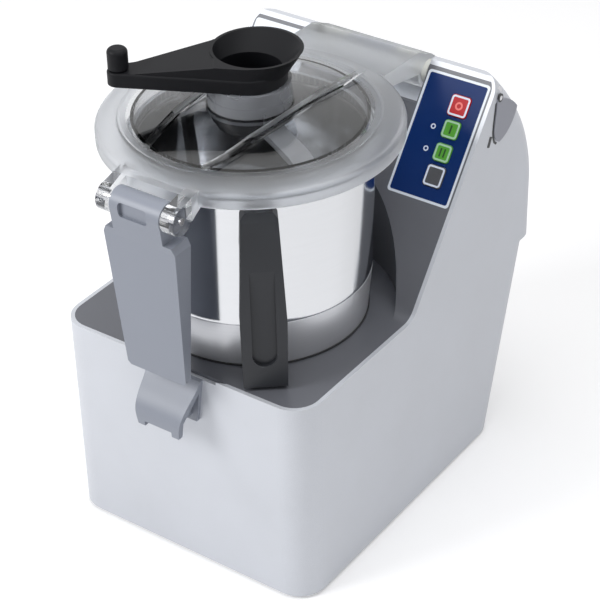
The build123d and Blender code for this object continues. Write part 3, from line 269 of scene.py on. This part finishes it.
finishes = {
    "casting": finish("blasted_casting", (0.6, 0.62, 0.665), scale=1500, roughness=0.42, roughness_spread=0.3,
                      colour_spread=0.16, depth=0.12, Metallic=0.3),
    "deck_cover": finish("deck_plastic", (0.115, 0.12, 0.138), scale=1300, roughness=0.34, depth=0.16),
    "plate_steel": finish("pressed_plate", (0.55, 0.56, 0.58), scale=700, roughness=0.38, Metallic=0.9),
    "foot_rubber": finish("foot_rubber", (0.02, 0.02, 0.02), scale=1500, roughness=0.75, depth=0.2),
    "screw_steel": finish("screw_steel", (0.5, 0.5, 0.52), scale=2000, roughness=0.3, Metallic=1.0),
    "black_plastic": finish("black_plastic", (0.02, 0.021, 0.023), scale=1500, roughness=0.45, depth=0.12),
    "pale_plastic": finish("pale_plastic", (0.74, 0.79, 0.86), scale=1200, roughness=0.3, colour_spread=0.03,
                           depth=0.04),
    "panel_blue": finish("panel_film", (0.002, 0.024, 0.13), scale=1800, roughness=0.35, colour_spread=0.2,
                         depth=0.03, Specular_IOR_Level=0.15),
    "board_green": finish("board_lacquer", (0.02, 0.12, 0.05), scale=600, roughness=0.35),
    "cap_grey": finish("cap_plastic", (0.3, 0.31, 0.36), scale=1300, roughness=0.4, depth=0.08),
    "motor_steel": finish("motor_paint", (0.1, 0.11, 0.12), scale=900, roughness=0.5, Metallic=0.2),
    "core_steel": finish("core_laminations", (0.22, 0.22, 0.23), turning, scale=1600, roughness=0.4,
                         Metallic=0.9),
    "copper": finish("enamelled_copper", (0.55, 0.2, 0.07), turning, scale=900, roughness=0.35,
                     colour_spread=0.3, depth=0.3, Metallic=0.7),
    "cast_aluminium": finish("turned_aluminium", (0.66, 0.67, 0.7), turning, scale=700, roughness=0.3,
                             Metallic=0.7),
    "bearing_steel": finish("ground_steel", (0.62, 0.63, 0.65), turning, scale=1400, roughness=0.12,
                            Metallic=1.0),
    "seal_rubber": finish("seal_rubber", (0.015, 0.015, 0.015), scale=1500, roughness=0.6),
    "bowl_steel": finish("polished_bowl", (0.66, 0.67, 0.69), turning, scale=520, roughness=0.13,
                         roughness_spread=0.06, colour_spread=0.05, depth=0.02, Metallic=1.0),
    "handle_plastic": finish("handle_plastic", (0.026, 0.028, 0.033), scale=1400, roughness=0.4, depth=0.14,
                             Specular_IOR_Level=0.35),
    "pin_steel": finish("pin_steel", (0.6, 0.6, 0.62), scale=1800, roughness=0.2, Metallic=1.0),
    "latch_grey": finish("latch_plastic", (0.25, 0.27, 0.32), scale=1300, roughness=0.42, depth=0.1),
    "knife_steel": finish("knife_steel", (0.68, 0.69, 0.7), scale=1700, roughness=0.18, Metallic=1.0),
    "clear_lid": clear_finish("clear_lid", (0.72, 0.73, 0.745), rim_start=0.1, rib_foot=0.3991,
                              roughness=0.03, rim_roughness=0.45, rim_colour=(0.78, 0.8, 0.83)),
    "clear_seal": finish("clear_seal", (0.6, 0.62, 0.64), scale=900, roughness=0.5),
    "collar_clear": clear_finish("clear_collar", (0.5, 0.52, 0.56), rim_start=0.02, rib_foot=0.5,
                                 roughness=0.2, rim_roughness=0.25, clearness=0.65),
    "bush_plastic": finish("bush_plastic", (0.7, 0.7, 0.66), scale=1200, roughness=0.45),
    "crank_black": finish("crank_plastic", (0.006, 0.0063, 0.008), scale=1500, roughness=0.5, depth=0.1,
                          Specular_IOR_Level=0.16),
    "scraper_grey": finish("scraper_plastic", (0.42, 0.43, 0.45), scale=1200, roughness=0.42),
    "blade_rubber": finish("blade_rubber", (0.035, 0.036, 0.04), scale=1500, roughness=0.6),
    "key_red": finish("red_key", (0.5, 0.003, 0.009), scale=1200, roughness=0.35, depth=0.05,
                      Specular_IOR_Level=0.25),
    "key_green": finish("green_key", (0.1, 0.38, 0.04), scale=1200, roughness=0.35, depth=0.05,
                        Specular_IOR_Level=0.25),
    "key_black": finish("pulse_key_grey", (0.07, 0.072, 0.08), scale=1200, roughness=0.35, depth=0.1),
}

for entry in frame["record"]["subparts"]:
    node = frame["nodes"][entry["node"]]
    node.data.materials.clear()
    node.data.materials.append(finishes[entry["material_slot"]])

mark_pale = finish("mark_pale", (0.72, 0.78, 0.9), scale=1500, roughness=0.35, depth=0.02)
mark_green = finish("mark_dark_green", (0.01, 0.06, 0.01), scale=1500, roughness=0.4, depth=0.02)
mark_red = finish("mark_light_red", (0.85, 0.16, 0.14), roughness=0.35)
border_green = finish("border_pale_green", (0.42, 0.66, 0.45), scale=1500, roughness=0.35, depth=0.02)


# The control panel's marks, placed on the towers' slope

SLOPE = radians(52.1)
SLOPE_FOOT_Y = SHAFT_Y + 0.0474
SLOPE_FOOT_Z = 0.2015
KEY_X = 0.1006

# Each key's place along the slope, its width and its height
KEYS = {"stop_key": (0.185, 0.019, 0.019), "speed_one_key": (0.164, 0.016, 0.016),
        "speed_two_key": (0.143, 0.016, 0.016), "pulse_key": (0.122, 0.018, 0.019)}

# How much smaller than its key a border's inner and outer outlines are, and how round their corners are
BORDER_INNER = (0.0046, 0.0012)
BORDER_OUTER = (0.0013, 0.0026)

# The length of the strokes I and II, their widths, and how far those of II stand from their key's middle
STROKE_LENGTH = 0.0075
ONE_WIDTH = 0.0016
TWO_WIDTH = 0.0015
TWO_APART = 0.0019

# The inner and outer radius of the stop key's ring and of those round the lamps
STOP_RING = (0.002, 0.0036)
LAMP_RING = (0.0013, 0.0024)

# Each lamp's place across and along the slope
LAMP_PLACES = ((0.0834, 0.1626), (0.0838, 0.1427))

# Where each kind of mark begins and ends above the slope, which the keys' faces stand 0.001 above
BORDER_LIFTS = (0.0009, 0.0011)
STROKE_LIFTS = (0.001, 0.00115)
STOP_LIFTS = (0.0009, 0.00115)
LAMP_LIFTS = (-0.0003, 0.00012)


def on_slope(x, along, lift):
    """A point on the towers' slope, along it from its foot and lifted square to it."""
    return Vector((x, SLOPE_FOOT_Y + along * cos(SLOPE) - lift * sin(SLOPE),
                   SLOPE_FOOT_Z + along * sin(SLOPE) + lift * cos(SLOPE)))


def rounded_outline(width, height, corner, steps=6):
    """Points round a rectangle with rounded corners, about its middle."""
    points = []
    for side_x, side_y, start in ((1, 1, 0), (-1, 1, 90), (-1, -1, 180), (1, -1, 270)):
        for step in range(steps + 1):
            turn = radians(start + 90 * step / steps)
            points.append((side_x * (width / 2 - corner) + corner * cos(turn),
                           side_y * (height / 2 - corner) + corner * sin(turn)))
    return points


def circle(radius, steps=28):
    """Points round a circle, about its middle."""
    turns = [2 * pi * step / steps for step in range(steps)]
    return [(cos(turn) * radius, sin(turn) * radius) for turn in turns]


def piece(name, mesh, material, body):
    """Puts a finished bmesh into the scene as a piece that rides on a body."""
    data = bpy.data.meshes.new(name)
    bmesh.ops.recalc_face_normals(mesh, faces=mesh.faces)
    mesh.to_mesh(data)
    mesh.free()
    data.materials.append(material)
    thing = bpy.data.objects.new(name, data)
    bpy.context.scene.collection.objects.link(thing)
    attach(thing, body)


def rim_about(mesh, x, along, inner, outer, lifts):
    """A raised rim on the slope, between two outlines with equal numbers of points."""
    low, high = lifts
    rings = []
    for outline, lift in ((inner, low), (inner, high), (outer, high), (outer, low)):
        rings.append([mesh.verts.new(on_slope(x + px, along + py, lift)) for px, py in outline])
    count = len(inner)
    for near, far in zip(rings, rings[1:] + rings[:1]):
        for index in range(count):
            after = (index + 1) % count
            mesh.faces.new((near[index], near[after], far[after], far[index]))


def stroke_on(mesh, x, along, width):
    """A thin raised stroke on a key's face, upright along the slope."""
    corners = []
    for lift in STROKE_LIFTS:
        for side_x, side_y in ((-1, -1), (1, -1), (1, 1), (-1, 1)):
            corner = on_slope(x + side_x * width / 2, along + side_y * STROKE_LENGTH / 2, lift)
            corners.append(mesh.verts.new(corner))
    for side in ((0, 1, 2, 3), (7, 6, 5, 4), (0, 4, 5, 1), (1, 5, 6, 2), (2, 6, 7, 3), (3, 7, 4, 0)):
        mesh.faces.new([corners[place] for place in side])


def key_border(key_name):
    """The border printed on a key's face, pale green on the two speed keys."""
    along, width, height = KEYS[key_name]
    inner, outer = (rounded_outline(width - smaller, height - smaller, corner)
                    for smaller, corner in (BORDER_INNER, BORDER_OUTER))
    border = bmesh.new()
    rim_about(border, KEY_X, along, inner, outer, BORDER_LIFTS)
    green = key_name.startswith("speed")
    piece(key_name + "_border", border, border_green if green else mark_pale, key_name + "_body")


for key_name in KEYS:
    key_border(key_name)

one = bmesh.new()
stroke_on(one, KEY_X, KEYS["speed_one_key"][0], ONE_WIDTH)
piece("speed_one_mark", one, mark_green, "speed_one_key_body")

two = bmesh.new()
for side in (-1, 1):
    stroke_on(two, KEY_X + side * TWO_APART, KEYS["speed_two_key"][0], TWO_WIDTH)
piece("speed_two_mark", two, mark_green, "speed_two_key_body")

stop = bmesh.new()
rim_about(stop, KEY_X, KEYS["stop_key"][0], *map(circle, STOP_RING), STOP_LIFTS)
piece("stop_mark", stop, mark_red, "stop_key_body")

lamps = bmesh.new()
for x, along in LAMP_PLACES:
    rim_about(lamps, x, along, *map(circle, LAMP_RING), LAMP_LIFTS)
piece("lamp_rings", lamps, mark_pale, "base")


# Small fittings beside the side caps, on both side walls, with black strips of painted shade along the caps'
# front edges and in the slanted slots

SIDE_X = 0.128

# The pin's collar and head: their middle's Y and Z, each one's radius, and how far out it begins and ends
PIN_AT = (SHAFT_Y + 0.1812, 0.355)
COLLAR = (0.0039, -0.0004, 0.0013)
HEAD = (0.0022, -0.0004, 0.0016)

# The slanted slot, drawn as a thin black bar of painted shade for its inside: its middle's Y and Z, how far
# out that lies, its lean, and its depth, width and length
SLOT_AT = (SHAFT_Y + 0.1666, 0.3184)
SLOT_OUT = 0.00005
SLOT_LEAN = radians(-26)
SLOT_SIZE = (0.0005, 0.004, 0.0098)

# The front edge of a side cap in Y and Z, from its top down. A black strip of painted shade, standing in for
# the shadow at the cap's recess wall, follows it.
CAP_EDGE = ((0.1764, 0.3525), (0.1749, 0.343), (0.1733, 0.333), (0.1727, 0.327), (0.1733, 0.3208),
            (0.1755, 0.3152), (0.1793, 0.3118))

# The painted shade strip's section: how far each corner lies behind that edge, and out of the wall
SHADE_STRIP_SECTION = ((-0.0022, -0.0002), (-0.0022, 0.0001), (0.0002, 0.0001), (0.0002, -0.0002))

# How far the painted shade strip's front drops for its width
SHADE_STRIP_DROP = 0.35


def side_disc(mesh, side, radius, low, high, steps=32):
    """A round head that stands out of a side wall."""
    middle = Matrix.Translation((side * (SIDE_X + (low + high) / 2), *PIN_AT))
    bmesh.ops.create_cone(mesh, cap_ends=True, segments=steps, radius1=radius, radius2=radius,
                          depth=high - low, matrix=middle @ Matrix.Rotation(pi / 2, 4, "Y"))


def side_slot_shade(mesh, side):
    """A thin black bar under the pin's head: painted shade standing in for the inside of a short slanted slot.
    """
    middle = Matrix.Translation((side * (SIDE_X + SLOT_OUT), *SLOT_AT))
    lean = Matrix.Rotation(SLOT_LEAN, 4, "X")
    bmesh.ops.create_cube(mesh, size=1, matrix=middle @ lean @ Matrix.Diagonal((*SLOT_SIZE, 1)))


def side_shade_strip(mesh, side):
    """A black strip along the front edge of a side cap: painted shade standing in for the shadow of its recess
    wall.
    """
    rows = []
    for shift, out in SHADE_STRIP_SECTION:
        rows.append([mesh.verts.new((side * (SIDE_X + out), SHAFT_Y + y + shift, z + shift * SHADE_STRIP_DROP))
                     for y, z in CAP_EDGE])
    for near, far in zip(rows, rows[1:] + rows[:1]):
        for place in range(len(CAP_EDGE) - 1):
            mesh.faces.new((near[place], near[place + 1], far[place + 1], far[place]))
    for end in (0, -1):
        mesh.faces.new([row[end] for row in rows])


cap_edge_shade, collars, heads, slot_shades = (bmesh.new() for _ in range(4))
for side in (-1, 1):
    side_shade_strip(cap_edge_shade, side)
    side_disc(collars, side, *COLLAR)
    side_disc(heads, side, *HEAD)
    side_slot_shade(slot_shades, side)
# Painted shade: black strips standing slightly proud of the wall where the caps' recess wall casts its shadow
piece("cap_edge_painted_shade", cap_edge_shade, finishes["black_plastic"], "base")
piece("pin_collars", collars, finishes["black_plastic"], "base")
piece("pin_heads", heads, finishes["pin_steel"], "base")
# Painted shade: the slots are black bars on the wall, not cut openings
piece("side_slot_painted_shade", slot_shades, finishes["black_plastic"], "base")


# Studio

# How far the floor reaches each way, and how strongly it glows where it is seen or reflected
FLOOR_REACH = 6
FLOOR_GLOW = 0.27

# How strongly the sky lights the object, and what is added where it is seen or reflected, up to white
SKY_LIGHT = 0.42
SKY_GLOW = 0.58

# The point that the lamps look at
LAMPS_AIM = Vector((0, 0, 0.2))

scene = bpy.context.scene
scene.view_settings.view_transform = "Standard"


def seen_or_reflected(tree):
    """1 for the camera's rays, also by a mirror or through clear plastic, and 0 for all others."""
    path = tree.nodes.new("ShaderNodeLightPath")
    seen = calculate(tree, "MAXIMUM", (path, "Is Camera Ray"), (path, "Is Glossy Ray"))
    return calculate(tree, "MAXIMUM", (seen, "Value"), (path, "Is Transmission Ray"))


def pale_floor():
    """The floor's finish, nearly white, which still shows the object's shadow."""
    material = bpy.data.materials.new("pale_floor")
    material.use_nodes = True
    tree = material.node_tree
    shader = tree.nodes["Principled BSDF"]
    shader.inputs["Base Color"].default_value = (0.86, 0.86, 0.87, 1)
    shader.inputs["Roughness"].default_value = 0.8
    shader.inputs["Specular IOR Level"].default_value = 0.1
    shader.inputs["Emission Color"].default_value = (1, 1, 1, 1)
    glow = calculate(tree, "MULTIPLY", (seen_or_reflected(tree), "Value"), FLOOR_GLOW)
    wire(tree, (glow, "Value", shader, "Emission Strength"))
    return material


def floor():
    """The studio's floor."""
    corners = [(side_x * FLOOR_REACH, side_y * FLOOR_REACH, 0)
               for side_x, side_y in ((-1, -1), (1, -1), (1, 1), (-1, 1))]
    data = bpy.data.meshes.new("floor")
    data.from_pydata(corners, [], [(0, 1, 2, 3)])
    data.materials.append(pale_floor())
    sheet = bpy.data.objects.new("floor", data)
    scene.collection.objects.link(sheet)


def sky():
    """The world, which lights the object evenly and is white where it is seen."""
    world = bpy.data.worlds.new("studio")
    scene.world = world
    world.use_nodes = True
    tree = world.node_tree
    background = tree.nodes["Background"]
    background.inputs["Color"].default_value = (1, 1, 1, 1)
    glow = calculate(tree, "MULTIPLY", (seen_or_reflected(tree), "Value"), SKY_GLOW)
    total = calculate(tree, "ADD", (glow, "Value"), SKY_LIGHT)
    wire(tree, (total, "Value", background, "Strength"))


def softbox(name, place, size, power):
    """A square area lamp that looks at the lamps' aim."""
    lamp = bpy.data.lights.new(name, "AREA")
    lamp.size = size
    lamp.energy = power
    thing = bpy.data.objects.new(name, lamp)
    thing.location = place
    thing.rotation_euler = (LAMPS_AIM - Vector(place)).to_track_quat("-Z", "Y").to_euler()
    scene.collection.objects.link(thing)


floor()
sky()
softbox("front_left_box", (-1.1, -1.7, 1.5), size=1.0, power=31)
softbox("overhead_box", (0.2, 0.1, 2.1), size=1.4, power=18)
softbox("right_fill_box", (1.9, -0.2, 0.9), size=0.9, power=1.5)


# Camera, at the photograph's place

# The point it looks at, and its turn to the right, its rise, its roll and its distance about that point
TARGET = Vector((0.041067, SHAFT_Y + 0.004758, 0.215))
TURN, RISE, ROLL, AWAY = radians(36.002), radians(34.125), radians(-1.524), 1.7253

# The photograph's width and the focal length in its pixels, and the sensor's width in millimetres
PHOTO_WIDTH = 600
FOCAL_LENGTH = 2028.457
SENSOR_WIDTH = 36

right = Vector((cos(TURN), sin(TURN), 0))
back = Vector((sin(TURN) * cos(RISE), -cos(TURN) * cos(RISE), sin(RISE)))
up = back.cross(right)
rolled_right = right * cos(ROLL) + up * sin(ROLL)
rolled_up = up * cos(ROLL) - right * sin(ROLL)
lens = bpy.data.cameras.new("camera")
lens.lens = FOCAL_LENGTH / PHOTO_WIDTH * SENSOR_WIDTH
lens.sensor_width = SENSOR_WIDTH
camera = bpy.data.objects.new("camera", lens)
camera.matrix_world = Matrix.Translation(TARGET + back * AWAY) @ Matrix(
    (rolled_right, rolled_up, back)).transposed().to_4x4()
scene.collection.objects.link(camera)
scene.camera = camera
